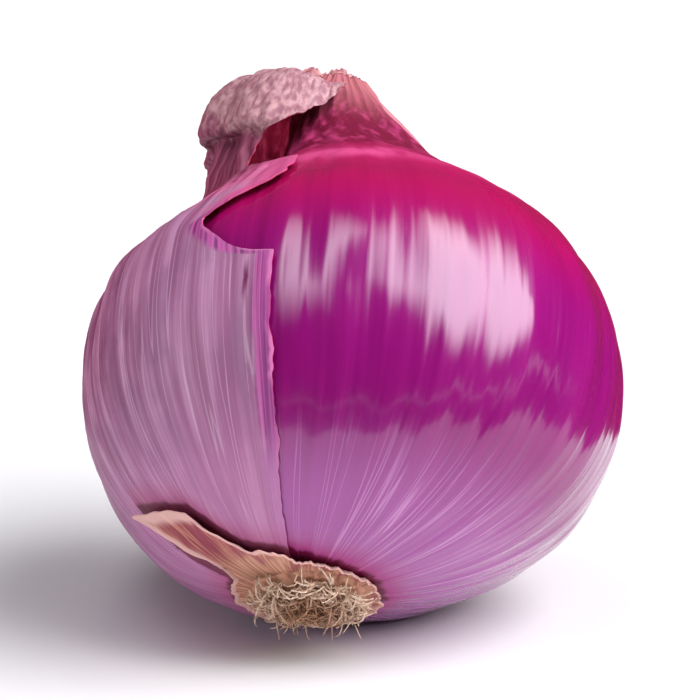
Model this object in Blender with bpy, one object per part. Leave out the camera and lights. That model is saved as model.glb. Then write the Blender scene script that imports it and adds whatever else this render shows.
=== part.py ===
"""A medium red onion lying with its neck up and back and its roots down in front.

The bulb is modelled upright on its own axis, roots at -Z and neck at +Z, and its parent empty
lays it down on a small flat spot. The world's origin is the middle of that flat spot, +Z is up
and the viewer stands at -Y. All lengths are metres.

A place on the skin is a latitude in degrees (-90 is the root pole, 0 the equator, 90 the neck's
end) and a turn in degrees about the axis, counted from the front towards the left.
"""

import math
import random

import bmesh
import bpy
import numpy as np
from mathutils import Euler, Matrix, Vector, noise

MM = 0.001

# The bulb's driving sizes
BULB_RADIUS = 31.0 * MM
BULB_HALF_HEIGHT = 27.0 * MM
FULLNESS = 0.94
NECK_TOP = 39.2 * MM
NECK_TIP_RADIUS = 3.6 * MM
PLATE_RADIUS = 7.5 * MM
SIDE_BULGE = 3.8 * MM

# How it lies: the axis leans back from the vertical and a little to the right
LEAN_BACK = math.radians(43.0)
LEAN_RIGHT = math.radians(4.0)
FLAT_DEPTH = 1.2 * MM
HIGHEST_TOUCHING_LAT = 30.0

# Latitudes of the bulb's outline, and how finely it is divided
ROOT_LAT = -78.0
SHOULDER_LAT = 55.0
NECK_END_LAT = 90.0
COLUMNS = 80
BULB_ROWS = 22
NECK_ROWS = 10

# The neck's outline leaves the shoulder and reaches its end along these lengths
NECK_LEAVE = 5.2 * MM
NECK_ARRIVE = (3.2 * MM, 4.6 * MM)

# The seat of the root plate and the well in the neck's end, from the root's level and the rim
SEAT_SHARE = 0.86
SEAT_RISE = 0.5 * MM
SEAT_CROWN = 0.9 * MM
WELL_LIP = (0.8 * MM, 0.3 * MM)
WELL_WALL = (1.0 * MM, 3.2 * MM)
WELL_DEPTH = 3.6 * MM

# Low relief of the fleshy scales under the skin
LOBE_TWO = 0.25 * MM
LOBE_THREE = 0.25 * MM
RIB_COUNT = 20
RIB_HEIGHT = 0.14 * MM
RIB_WAVE = 1.4

# The folds that the drying neck pulls itself into
NECK_START = 0.86 * BULB_HALF_HEIGHT
NECK_CREASES = 7
NECK_PUCKERS = 3
NECK_CREASE_DEPTH = 0.95 * MM
CREASE_SHARE = 0.6
PUCKER_SHARE = 0.5
CREASE_TWIST = 3.3
CREASE_WAVE = 2.7

# On its left the neck has sunk in, and the shoulder slopes down
HOLLOW_TURN = 82.0
HOLLOW_HALF_WIDTH = 48.0
HOLLOW_RADIUS = 4.0 * MM
HOLLOW_FOOT = (23.6 * MM, 27.0 * MM)
HOLLOW_HEAD = (33.0 * MM, 37.0 * MM)
DROP_TURN = 72.0
DROP_HALF_WIDTH = 55.0
DROP_DEPTH = 4.6 * MM
DROP_HEIGHTS = (5.0 * MM, 37.0 * MM)

# The dry outer skin
SKIN_GAP = 0.35 * MM
NECK_GAP = 0.9 * MM
SKIN_THICKNESS = 0.7 * MM
SKIN_LOW_LAT = -65.5
SKIN_HIGH_LAT = 50.0
SKIN_FRONT_TURN = 19.5
SKIN_BACK_TURN = 150.0
SKIN_COLUMNS = 28
SKIN_ROWS = 36
NOTCH_LAT = 21.0
NOTCH_BELOW = 16.0
NOTCH_ABOVE = 29.0
NOTCH_DEPTH = 20.0
EDGE_CURL = 0.5 * MM
EDGE_CURL_WIDTH = 5.0
EDGE_CURL_FADE = 25.0

# How torn edges wander: how fast along the edge, which draw of the noise, and how far in degrees
FRONT_RAG = (0.13, 2.0, 1.6)
BACK_RAG = (0.11, 31.0, 7.0)
LOW_RAG = (0.12, 17.0, 1.2)

# The dry skin's own neck, a hood that rises off the shoulder and folds over beside the neck.
# Its net has rows from the shoulder up: turn in degrees, and radius and height in millimetres,
# of five places from the front edge to the back edge.
HOOD_ROWS = 14
HOOD_SHARE = HOOD_ROWS / SKIN_ROWS
HOOD_CRUMPLE = 0.4 * MM
HOOD_PLEATS = 8
HOOD_NET = (
    ((50, 15.6, 24.4), (72, 15.8, 25.2), (98, 16.0, 25.8), (138, 16.2, 25.3), (176, 16.6, 24.4)),
    ((46, 13.2, 27.8), (66, 13.4, 30.0), (95, 14.2, 30.8), (138, 14.6, 29.0), (180, 14.0, 27.2)),
    ((32, 13.6, 28.6), (60, 15.2, 30.4), (93, 15.5, 31.4), (138, 14.2, 31.4), (180, 12.6, 30.0)),
    ((14, 10.8, 31.2), (52, 13.6, 33.8), (91, 14.8, 34.6), (136, 12.8, 34.0), (178, 10.8, 33.2)),
    ((0, 8.2, 34.2), (45, 10.4, 36.9), (88, 12.2, 37.2), (132, 10.2, 38.0), (172, 8.8, 37.8)),
    ((-6, 6.4, 37.0), (40, 7.0, 38.8), (84, 8.0, 39.8), (128, 7.2, 41.2), (168, 6.6, 41.0)),
)

# The torn collar round the root plate, with its long flap
COLLAR_COLUMNS = 60
COLLAR_ROWS = 5
COLLAR_THICKNESS = 0.7 * MM
COLLAR_START_LAT = -77.5
COLLAR_REACH = 4.5
COLLAR_LEAST_REACH = 2.0
COLLAR_RISE = 0.8 * MM
TEETH_DEPTH = 2.6
TEETH_ROUND = 5.0
TEETH_DRAW = 4.0
FLAP_TURN = 80.0
FLAP_HALF_WIDTH = 27.0
FLAP_END_LAT = -45.0
FLAP_RISE = 1.7 * MM
FLAP_CRUMPLE = 0.4 * MM
FLAP_WAVE = 0.4

# The root plate's outline: share of its radius, and depth below its seat
PLATE_OUTLINE = (
    (0.80, 0.0 * MM),
    (0.90, 0.8 * MM),
    (0.74, 1.6 * MM),
    (0.40, 2.2 * MM),
    (0.0, 2.4 * MM),
)
PLATE_COLUMNS = 20

# The roots
ROOT_COUNT = 42
ROOT_RADIUS = 0.5 * MM
ROOT_SIDES = 5
ROOT_STEPS = 4
ROOT_LENGTHS = (2.4 * MM, 5.2 * MM)
ROOT_TAPER = 0.45
ROOT_SUNK = 1.1 * MM
ROOT_FOOT = 1.3 * MM
ROOT_RING = 5.4 * MM
ROOT_SPREAD = (8.0, 40.0)
ROOT_CURL = (0.18, 0.5)
ROOT_SHORTER_BELOW = 0.35
ROOT_LEVELLEST = -0.12
FLOOR_CLEARANCE = 0.4 * MM

# The dried leaf ends in the neck
TIP_FOOT = NECK_TOP - 2.7 * MM
TIP_CORE = ((0.0 * MM, 1.25 * MM), (1.4 * MM, 1.3 * MM), (3.4 * MM, 1.0 * MM))
TIP_CORE_SIDES = 8
TIP_COUNT = 6
TIP_TALL = (4.6 * MM, 6.0 * MM)
TIP_WIDE = (3.4 * MM, 4.4 * MM)
TIP_SPLAY = (0.2 * MM, 1.0 * MM)
TIP_RING = 0.8 * MM
TIP_RAISED = 0.3 * MM
TIP_BEND = 0.3 * MM
TIP_THICKNESS = 0.65 * MM

# Shares of a dried end's width at its foot, of its height where it widens, and what its top loses
TIP_FOOT_SHARE = 0.5
TIP_WIDENS = (0.3, 0.7)
TIP_TOP_NARROWS = 0.3
TIP_CORNERS_DROP = 0.3

MERGE = 0.000001
SEED = 11


def remove_everything():
    for obj in list(bpy.data.objects):
        bpy.data.objects.remove(obj, do_unlink=True)


def finish_material(name, colour, roughness):
    material = bpy.data.materials.new(name)
    material.use_nodes = True
    shader = material.node_tree.nodes["Principled BSDF"]
    shader.inputs["Base Color"].default_value = (*colour, 1.0)
    shader.inputs["Roughness"].default_value = roughness
    shader.inputs["Metallic"].default_value = 0.0
    return material


def clamp(value, low=0.0, high=1.0):
    return min(max(value, low), high)


def ease(share):
    """A smooth step from 0 to 1."""
    t = clamp(share)
    return t * t * (3.0 - 2.0 * t)


def around(turn):
    """The angle about the axis of a turn in degrees."""
    return math.radians(-90.0 - turn)


def turn_of(angle):
    """The turn in degrees, from -180 to 180, of an angle about the axis."""
    return (-math.degrees(angle) - 90.0 + 180.0) % 360.0 - 180.0


def near_turn(angle, turn, half_width):
    """How near an angle is to a turn: 1 there, and fading over a half width in degrees."""
    away = (turn_of(angle) - turn + 180.0) % 360.0 - 180.0
    return math.exp(-((away / half_width) ** 2))


def bezier(points, t):
    """The point of a cubic Bezier curve, each point being a radius and a height."""
    s = 1.0 - t
    weights = (s**3, 3 * s * s * t, 3 * s * t * t, t**3)
    radius = sum(w * p[0] for w, p in zip(weights, points))
    height = sum(w * p[1] for w, p in zip(weights, points))
    return radius, height


def smooth_run(places, share):
    """The place at a share of the way along a smooth curve through the places."""
    last = len(places) - 1
    at = clamp(share) * last
    step = min(int(at), last - 1)
    t = at - step
    before, here, there, after = (Vector(places[int(clamp(step + k, 0, last))]) for k in (-1, 0, 1, 2))
    return 0.5 * (
        2 * here
        + (there - before) * t
        + (2 * before - 5 * here + 4 * there - after) * t**2
        + (3 * (here - there) + after - before) * t**3
    )


def meridian(lat):
    """The radius and height of the bulb's skin at a latitude, neck included."""
    if lat <= SHOULDER_LAT:
        a = math.radians(lat)
        sine = math.copysign(abs(math.sin(a)) ** FULLNESS, a)
        return BULB_RADIUS * math.cos(a) ** FULLNESS, BULB_HALF_HEIGHT * sine
    start = meridian(SHOULDER_LAT)
    below = meridian(SHOULDER_LAT - 1.0)
    along = Vector((start[0] - below[0], start[1] - below[1])).normalized()
    leave = (start[0] + along.x * NECK_LEAVE, start[1] + along.y * NECK_LEAVE)
    end = (NECK_TIP_RADIUS, NECK_TOP)
    arrive = (end[0] + NECK_ARRIVE[0], end[1] - NECK_ARRIVE[1])
    return bezier((start, leave, arrive, end), (lat - SHOULDER_LAT) / (NECK_END_LAT - SHOULDER_LAT))


NECK_OUTLINE = [meridian(lat) for lat in np.linspace(SKIN_HIGH_LAT, NECK_END_LAT, 60)]


def neck_radius(height):
    """The radius of the neck's outline at a height."""
    return float(np.interp(height, [p[1] for p in NECK_OUTLINE], [p[0] for p in NECK_OUTLINE]))


def neck_hollow(angle, radius, height):
    """How deep the neck has sunk in on its left, where the dry skin stands off it."""
    outline = neck_radius(height)
    foot = ease((height - HOLLOW_FOOT[0]) / (HOLLOW_FOOT[1] - HOLLOW_FOOT[0]))
    head = 1.0 - ease((height - HOLLOW_HEAD[0]) / (HOLLOW_HEAD[1] - HOLLOW_HEAD[0]))
    depth = max(outline - HOLLOW_RADIUS, 0.0) * min(radius / outline, 1.0)
    return near_turn(angle, HOLLOW_TURN, HOLLOW_HALF_WIDTH) * foot * head * depth


def relief(angle, radius, height):
    """How far the skin stands out of the smooth bulb: lobes, ribs, neck folds and the hollow."""
    lobes = LOBE_TWO * math.cos(2 * angle + 0.7) + LOBE_THREE * math.cos(3 * angle - 1.2)
    ribs = RIB_HEIGHT * math.cos(RIB_COUNT * angle + RIB_WAVE * math.sin(3 * angle))
    neck = clamp((height - NECK_START) / (NECK_TOP - NECK_START))
    twist = CREASE_TWIST * neck + CREASE_WAVE * math.sin(2 * angle)
    creases = CREASE_SHARE * math.cos(NECK_CREASES * angle + twist)
    puckers = PUCKER_SHARE * math.cos(NECK_PUCKERS * angle - 2.0 * neck + 0.5)
    folds = NECK_CREASE_DEPTH * math.sin(math.pi * min(neck * 1.15, 1.0)) * (creases + puckers)
    return min(radius / BULB_RADIUS, 1.0) * (lobes + ribs) + folds - neck_hollow(angle, radius, height)


def on_axis_shift(height):
    """The bulb is fuller on its right, so its rings are not all centred on the axis."""
    return SIDE_BULGE * max(0.0, 1.0 - (height / BULB_HALF_HEIGHT) ** 4)


def shoulder_drop(angle, height):
    """How far the left shoulder slopes down, below the even bulb."""
    share = clamp((height - DROP_HEIGHTS[0]) / (DROP_HEIGHTS[1] - DROP_HEIGHTS[0]))
    return DROP_DEPTH * near_turn(angle, DROP_TURN, DROP_HALF_WIDTH) * math.sin(math.pi * share) ** 2


def in_place(angle, out, height):
    """The point at a distance out from the axis, on rings that shift and drop with the bulb."""
    level = height - shoulder_drop(angle, height)
    return Vector((out * math.cos(angle) + on_axis_shift(height), out * math.sin(angle), level))


def stand(radius, angle, height):
    """A point of the relief, from its radius and height on the smooth bulb."""
    return in_place(angle, radius + relief(angle, radius, height), height)


def skin_point(angle, lat, lift):
    """A point that stands off the bulb's skin by lift, square to the smooth meridian."""
    radius, height = meridian(lat)
    low = meridian(lat - 0.5)
    high = meridian(min(lat + 0.5, NECK_END_LAT))
    along = Vector((high[0] - low[0], high[1] - low[1])).normalized()
    outward = Vector((along.y * math.cos(angle), along.y * math.sin(angle), -along.x))
    return stand(radius, angle, height) + outward * lift


def laid_down():
    return Euler((-LEAN_BACK, LEAN_RIGHT, 0.0)).to_matrix()


def resting_place():
    """Where the bulb's own centre goes, so that its underside reaches just below the ground."""
    leaning = laid_down()
    angles = np.linspace(0.0, 2.0 * math.pi, 240, endpoint=False)
    lats = np.linspace(ROOT_LAT, HIGHEST_TOUCHING_LAT, 160)
    points = [leaning @ skin_point(a, lat, 0.0) for lat in lats for a in angles]
    level = min(p.z for p in points) + FLAT_DEPTH
    spot = [p for p in points if p.z < level]
    middle_x = (min(p.x for p in spot) + max(p.x for p in spot)) / 2.0
    middle_y = (min(p.y for p in spot) + max(p.y for p in spot)) / 2.0
    return Vector((-middle_x, -middle_y, -level))


def raised_clear(point, leaning, place, clearance):
    """The point, moved straight up in the world to stand clear of the ground."""
    world = leaning @ point + place
    if world.z >= clearance:
        return point
    return point + leaning.inverted() @ Vector((0.0, 0.0, clearance - world.z))


def add_object(name, mesh, parent, material):
    obj = bpy.data.objects.new(name, mesh)
    bpy.context.scene.collection.objects.link(obj)
    obj.parent = parent
    mesh.materials.append(material)
    return obj


def shade_round(mesh, angle=50.0):
    mesh.shade_smooth()
    mesh.set_sharp_from_angle(angle=math.radians(angle))


def to_mesh(bm, name):
    mesh = bpy.data.meshes.new(name)
    bm.to_mesh(mesh)
    bm.free()
    return mesh


def thicken(obj, thickness):
    """Gives a sheet its thickness on the side its faces look to."""
    solidify = obj.modifiers.new("thickness", "SOLIDIFY")
    solidify.thickness = thickness
    solidify.offset = 1.0


def turned_profile(outline, steps):
    """A closed body turned from an outline of radius and height pairs that starts and ends on the axis."""
    bm = bmesh.new()
    verts = [bm.verts.new((radius, 0.0, height)) for radius, height in outline]
    edges = [bm.edges.new(pair) for pair in zip(verts, verts[1:])]
    bmesh.ops.spin(
        bm,
        geom=verts + edges,
        cent=(0.0, 0.0, 0.0),
        axis=(0.0, 0.0, 1.0),
        angle=2.0 * math.pi,
        steps=steps,
    )
    bmesh.ops.remove_doubles(bm, verts=bm.verts, dist=MERGE)
    return bm


def sheet(columns, rows, place, closed=False):
    """A grid laid through place(u, v), u running round the bulb and v along it."""
    bm = bmesh.new()
    bmesh.ops.create_grid(bm, x_segments=columns, y_segments=rows, size=1.0)
    for vert in bm.verts:
        vert.co = place((vert.co.x + 1.0) / 2.0, (vert.co.y + 1.0) / 2.0)
    if closed:
        bmesh.ops.remove_doubles(bm, verts=bm.verts, dist=MERGE)
    bmesh.ops.triangulate(bm, faces=bm.faces)
    return bm


def face_outward(bm, centre=Vector((0.0, 0.0, 0.0))):
    """Turns a sheet so that most of its area looks away from the centre."""
    bm.normal_update()
    away = sum(f.calc_area() * f.normal.dot(f.calc_center_median() - centre) for f in bm.faces)
    if away < 0.0:
        bmesh.ops.reverse_faces(bm, faces=bm.faces)
    bm.normal_update()


def bulb(parent, leaning, place):
    """The fleshy bulb in its glossy skin, with its withered neck, cut level where it rests."""
    body = [ROOT_LAT + (SHOULDER_LAT - ROOT_LAT) * i / BULB_ROWS for i in range(BULB_ROWS + 1)]
    neck = [SHOULDER_LAT + (NECK_END_LAT - SHOULDER_LAT) * (i + 1) / NECK_ROWS for i in range(NECK_ROWS)]
    outline = [meridian(lat) for lat in body + neck]
    base = outline[0][1]
    rim = outline[-1]
    seat = [(0.0, base + SEAT_CROWN), (PLATE_RADIUS * SEAT_SHARE, base + SEAT_RISE)]
    well = [(rim[0] - inward, rim[1] - down) for inward, down in (WELL_LIP, WELL_WALL)]
    bm = turned_profile(seat + outline + well + [(0.0, rim[1] - WELL_DEPTH)], COLUMNS)
    for vert in bm.verts:
        radius = math.hypot(vert.co.x, vert.co.y)
        vert.co = stand(radius, math.atan2(vert.co.y, vert.co.x), vert.co.z)
    bmesh.ops.recalc_face_normals(bm, faces=bm.faces)

    ground = leaning.inverted() @ -place
    down = leaning.inverted() @ Vector((0.0, 0.0, -1.0))
    everything = list(bm.verts) + list(bm.edges) + list(bm.faces)
    cut = bmesh.ops.bisect_plane(bm, geom=everything, plane_co=ground, plane_no=down, clear_outer=True)
    rim_edges = [e for e in cut["geom_cut"] if isinstance(e, bmesh.types.BMEdge)]
    level = bmesh.ops.contextual_create(bm, geom=rim_edges)["faces"]
    bmesh.ops.poke(bm, faces=level)
    bmesh.ops.triangulate(bm, faces=bm.faces)
    bmesh.ops.recalc_face_normals(bm, faces=bm.faces)
    mesh = to_mesh(bm, "bulb")
    shade_round(mesh)
    add_object("bulb", mesh, parent, finish_material("glossy_red_skin", (0.32, 0.003, 0.17), 0.24))


def ragged(value, rag):
    """A torn edge's wander about its line, the same each time for one place."""
    rate, draw, size = rag
    coarse = noise.noise(Vector((value * rate, draw, 0.0)))
    fine = noise.noise(Vector((value * rate * 3.1, draw + 7.3, 0.0)))
    return size * (coarse + 0.5 * fine)


def front_edge(lat):
    """The turn of the dry skin's torn front edge, with the notch that shows the bulb's dark skin."""
    reach = NOTCH_BELOW if lat < NOTCH_LAT else NOTCH_ABOVE
    notch = max(0.0, 1.0 - abs(lat - NOTCH_LAT) / reach)
    return SKIN_FRONT_TURN + NOTCH_DEPTH * notch + ragged(lat, FRONT_RAG)


def back_edge(lat):
    return SKIN_BACK_TURN + ragged(lat, BACK_RAG)


def hood_point(u, foot_turn, climb):
    """The dry skin's own neck, from its foot on the shoulder to its end over the bulb's neck."""
    radius, height = meridian(SKIN_HIGH_LAT)
    foot = Vector((foot_turn, radius / MM, height / MM))
    turn, out, up = smooth_run([foot] + [smooth_run(row, u) for row in HOOD_NET], climb)
    angle = around(turn)
    out *= MM
    up *= MM
    out += relief(angle, out, up) + neck_hollow(angle, out, up)
    out += HOOD_CRUMPLE * climb * math.sin(HOOD_PLEATS * angle)
    if up < NECK_TOP:
        neck = neck_radius(up)
        out = max(out, neck + relief(angle, neck, up) + NECK_GAP * min(climb * HOOD_ROWS / 2.0, 1.0))
    outward = Vector((math.cos(angle), math.sin(angle), 1.0)).normalized()
    return in_place(angle, out, up) + outward * SKIN_GAP


def outer_skin(parent, leaning, place):
    """The dry outer skin, torn open down its front, with its own withered end beside the neck."""

    def lay(u, v):
        climb = max(0.0, (v - 1.0 + HOOD_SHARE) / HOOD_SHARE)
        lat = SKIN_LOW_LAT + (SKIN_HIGH_LAT - SKIN_LOW_LAT) * min(v / (1.0 - HOOD_SHARE), 1.0)
        front = front_edge(lat)
        turn = front + (back_edge(lat) - front) * u
        if climb > 0.0:
            return hood_point(u, turn, climb)
        if v == 0.0:
            lat += ragged(turn, LOW_RAG)
        near_front = math.exp(-(turn - front) / EDGE_CURL_WIDTH)
        fade = min(1.0, (SKIN_HIGH_LAT - lat) / EDGE_CURL_FADE)
        point = skin_point(around(turn), lat, SKIN_GAP + EDGE_CURL * fade * near_front)
        return raised_clear(point, leaning, place, SKIN_THICKNESS + FLOOR_CLEARANCE)

    bm = sheet(SKIN_COLUMNS, SKIN_ROWS, lay)
    face_outward(bm)
    mesh = to_mesh(bm, "outer_skin")
    shade_round(mesh)
    obj = add_object("outer_skin", mesh, parent, finish_material("dry_outer_skin", (0.42, 0.17, 0.29), 0.55))
    thicken(obj, SKIN_THICKNESS)


def root_collar(parent, leaning, place):
    """The outermost skin's torn remains round the root plate, with one long flap on the left."""

    def lay(u, v):
        angle = math.tau * u
        turn = turn_of(angle)
        flap = near_turn(angle, FLAP_TURN, FLAP_HALF_WIDTH)
        ring = Vector((TEETH_ROUND * math.cos(angle), TEETH_ROUND * math.sin(angle), TEETH_DRAW))
        reach = max(COLLAR_REACH + TEETH_DEPTH * noise.noise(ring), COLLAR_LEAST_REACH)
        reach += (FLAP_END_LAT - COLLAR_START_LAT - reach) * flap
        rise = COLLAR_RISE + FLAP_RISE * math.sqrt(flap)
        crumple = FLAP_CRUMPLE * flap * v * math.sin(turn * FLAP_WAVE)
        point = skin_point(angle, COLLAR_START_LAT + reach * v, SKIN_GAP + rise * v**0.7 + crumple)
        return raised_clear(point, leaning, place, COLLAR_THICKNESS + FLOOR_CLEARANCE)

    bm = sheet(COLLAR_COLUMNS, COLLAR_ROWS, lay, closed=True)
    face_outward(bm)
    mesh = to_mesh(bm, "root_collar")
    shade_round(mesh)
    obj = add_object("root_collar", mesh, parent, finish_material("papery_collar", (0.50, 0.24, 0.22), 0.7))
    thicken(obj, COLLAR_THICKNESS)


def tapered_run(path, radii, sides):
    """A closed round run along a path, one ring of points at each place on it."""
    bm = bmesh.new()
    rings = []
    across = Vector((1.0, 0.0, 0.0))
    for i, point in enumerate(path):
        ahead = path[min(i + 1, len(path) - 1)] - path[max(i - 1, 0)]
        ahead.normalize()
        across = (across - ahead * across.dot(ahead)).normalized()
        side = ahead.cross(across)
        ring = []
        for k in range(sides):
            angle = 2.0 * math.pi * k / sides
            ring.append(bm.verts.new(point + (across * math.cos(angle) + side * math.sin(angle)) * radii[i]))
        rings.append(ring)
    for low, high in zip(rings, rings[1:]):
        for k in range(sides):
            bm.faces.new((low[k], low[(k + 1) % sides], high[(k + 1) % sides], high[k]))
    bm.faces.new(list(reversed(rings[0])))
    bm.faces.new(rings[-1])
    bmesh.ops.recalc_face_normals(bm, faces=bm.faces)
    return bm


def root_path(draw, leaning, place, start_height):
    """One short curly root, from inside the plate outwards and down, kept clear of the ground."""
    reach = math.sqrt(draw.random())
    angle = draw.uniform(0.0, 2.0 * math.pi)
    outward = Vector((math.cos(angle), math.sin(angle), 0.0))
    start = outward * reach * ROOT_RING + Vector((0.0, 0.0, start_height))
    spread = math.radians(ROOT_SPREAD[0] + ROOT_SPREAD[1] * reach)
    heading = outward * math.sin(spread) - Vector((0.0, 0.0, math.cos(spread)))
    underside = max(0.0, math.sin(angle))
    length = draw.uniform(*ROOT_LENGTHS) * (1.0 - ROOT_SHORTER_BELOW * underside)
    curl_axis = Vector((draw.uniform(-1, 1), draw.uniform(-1, 1), draw.uniform(-0.6, 0.6))).normalized()
    curl = Matrix.Rotation(draw.uniform(*ROOT_CURL), 3, curl_axis)
    path = [start, start + heading * ROOT_FOOT]
    for _ in range(ROOT_STEPS - 1):
        heading = curl @ heading
        heading.z = min(heading.z, ROOT_LEVELLEST)
        heading.normalize()
        path.append(path[-1] + heading * length / ROOT_STEPS)
    clear = ROOT_RADIUS + FLOOR_CLEARANCE
    return [path[0]] + [raised_clear(p, leaning, place, clear) for p in path[1:]]


def keep_outer_body(mesh):
    """Drops loose scraps and the walls of hollows that the joining sealed, so one body is left."""
    bm = bmesh.new()
    bm.from_mesh(mesh)
    left = set(bm.faces)
    bodies = []
    while left:
        body = {left.pop()}
        to_visit = list(body)
        while to_visit:
            near = {f for e in to_visit.pop().edges for f in e.link_faces} & left
            left -= near
            body |= near
            to_visit.extend(near)
        bodies.append(body)
    largest = max(bodies, key=lambda body: sum(f.calc_area() for f in body))
    extra = [f for body in bodies if body is not largest for f in body]
    bmesh.ops.delete(bm, geom=extra, context="FACES")
    bm.to_mesh(mesh)
    bm.free()


def unite(base, pieces, name):
    """Joins the pieces of one collection to the base in one body."""
    bpy.context.view_layer.update()
    heap = bpy.data.collections.new(name)
    bpy.context.scene.collection.children.link(heap)
    for piece in pieces:
        heap.objects.link(piece)
        bpy.context.scene.collection.objects.unlink(piece)
    union = base.modifiers.new("union", "BOOLEAN")
    union.operation = "UNION"
    union.solver = "EXACT"
    union.operand_type = "COLLECTION"
    union.collection = heap
    graph = bpy.context.evaluated_depsgraph_get()
    joined = bpy.data.meshes.new_from_object(base.evaluated_get(graph))
    base.modifiers.clear()
    keep_outer_body(joined)
    base.data = joined
    for piece in pieces:
        bpy.data.objects.remove(piece, do_unlink=True)
    bpy.data.collections.remove(heap)


def root_tuft(parent, leaning, place):
    """The corky root plate and its short dry roots, one body."""
    seat = meridian(ROOT_LAT)[1] + SEAT_RISE - SKIN_GAP
    outline = [(0.0, seat)] + [(PLATE_RADIUS * share, seat - down) for share, down in PLATE_OUTLINE]
    bm = turned_profile(outline, PLATE_COLUMNS)
    bmesh.ops.recalc_face_normals(bm, faces=bm.faces)
    material = finish_material("dry_roots", (0.42, 0.24, 0.12), 0.8)
    plate = add_object("root_tuft", to_mesh(bm, "root_tuft"), parent, material)

    draw = random.Random(SEED)
    radii = [ROOT_RADIUS * (1.0 - ROOT_TAPER * i / ROOT_STEPS) for i in range(ROOT_STEPS + 1)]
    roots = []
    for i in range(ROOT_COUNT):
        root = tapered_run(root_path(draw, leaning, place, seat - ROOT_SUNK), radii, ROOT_SIDES)
        roots.append(add_object(f"root_{i}", to_mesh(root, f"root_{i}"), parent, material))
    unite(plate, roots, "roots")


def neck_tips(parent):
    """The dried ends of the inner leaves, a blunt tuft that stands out of the neck's open end."""
    material = finish_material("withered_neck_tips", (0.36, 0.13, 0.14), 0.7)
    path = [Vector((0.0, 0.0, TIP_FOOT + rise)) for rise, _ in TIP_CORE]
    core = tapered_run(path, [radius for _, radius in TIP_CORE], TIP_CORE_SIDES)
    core_obj = add_object("neck_tips", to_mesh(core, "neck_tips"), parent, material)

    draw = random.Random(SEED + 1)
    blades = []
    for i in range(TIP_COUNT):
        angle = 2.0 * math.pi * (i + draw.uniform(-0.15, 0.15)) / TIP_COUNT
        tall = draw.uniform(*TIP_TALL)
        wide = draw.uniform(*TIP_WIDE)
        splay = draw.uniform(*TIP_SPLAY)
        middle = Vector((math.cos(angle), math.sin(angle), 0.0))
        side = Vector((-middle.y, middle.x, 0.0))

        def lay(u, v):
            widened = ease((v - TIP_WIDENS[0]) / (TIP_WIDENS[1] - TIP_WIDENS[0]))
            spread = TIP_FOOT_SHARE + (1.0 - TIP_FOOT_SHARE) * widened - TIP_TOP_NARROWS * v**4
            across = wide * spread * (u - 0.5) + TIP_BEND * math.sin(5.0 * v + i)
            top = TIP_FOOT + TIP_RAISED + tall * v * (1.0 - TIP_CORNERS_DROP * abs(u - 0.5))
            return middle * (TIP_RING + splay * v**2.2) + side * across + Vector((0.0, 0.0, top))

        bm = sheet(2, 4, lay)
        face_outward(bm, Vector((0.0, 0.0, TIP_FOOT + 2.0 * MM)))
        blade = add_object(f"tip_{i}", to_mesh(bm, f"tip_{i}"), parent, material)
        thicken(blade, TIP_THICKNESS)
        blades.append(blade)
    unite(core_obj, blades, "tips")


def main():
    remove_everything()
    leaning = laid_down()
    place = resting_place()
    lying = bpy.data.objects.new("lying_onion", None)
    bpy.context.scene.collection.objects.link(lying)
    lying.location = place
    lying.rotation_euler = Euler((-LEAN_BACK, LEAN_RIGHT, 0.0))
    bpy.context.view_layer.update()
    bulb(lying, leaning, place)
    outer_skin(lying, leaning, place)
    root_collar(lying, leaning, place)
    root_tuft(lying, leaning, place)
    neck_tips(lying)


main()
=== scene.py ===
# %% [markdown]
# # A red onion
# The solids of the onion are already made and come in as a fixed frame. This script dresses them:
# it lays finer skins, roots and dried tips where the plain solids are, and gives each its finish.
# An onion is a good lesson in surfaces that follow one form. Every skin here is a sheet of faces
# laid on the same curve, a little further out each time, so no two of them ever cross.

# %% Load the frame
import math
import random

import bpy
import numpy as np
from mathutils import Euler, Matrix, Vector, noise


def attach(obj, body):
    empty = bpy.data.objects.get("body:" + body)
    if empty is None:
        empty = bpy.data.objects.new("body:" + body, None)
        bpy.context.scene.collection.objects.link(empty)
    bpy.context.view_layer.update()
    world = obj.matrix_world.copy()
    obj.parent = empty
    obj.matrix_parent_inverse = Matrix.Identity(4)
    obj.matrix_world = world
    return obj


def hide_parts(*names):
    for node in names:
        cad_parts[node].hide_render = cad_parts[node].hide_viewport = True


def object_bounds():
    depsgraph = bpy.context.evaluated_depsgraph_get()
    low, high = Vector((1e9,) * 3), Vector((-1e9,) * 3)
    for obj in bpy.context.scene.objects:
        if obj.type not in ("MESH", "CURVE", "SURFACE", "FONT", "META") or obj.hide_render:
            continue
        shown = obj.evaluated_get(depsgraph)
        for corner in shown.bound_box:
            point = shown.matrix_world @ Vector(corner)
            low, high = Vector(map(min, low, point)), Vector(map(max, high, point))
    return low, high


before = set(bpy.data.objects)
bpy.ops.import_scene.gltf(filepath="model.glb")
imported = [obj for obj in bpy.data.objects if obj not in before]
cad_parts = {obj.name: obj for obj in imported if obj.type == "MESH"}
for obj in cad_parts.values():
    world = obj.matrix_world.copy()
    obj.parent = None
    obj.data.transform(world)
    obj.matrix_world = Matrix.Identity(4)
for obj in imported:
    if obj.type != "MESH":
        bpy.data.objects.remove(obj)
CAD_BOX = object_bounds()
MM = 0.001
print("solids in the frame:", sorted(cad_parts))

# %% [markdown]
# ## The onion's own measures
# These are the sizes that the solids were made from. The bulb is described upright on its own axis,
# roots down and neck up, because that is how it grew: a latitude says how far up a point is, and a
# turn how far round it is from the front, towards the left. Only at the end is it laid down.

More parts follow.
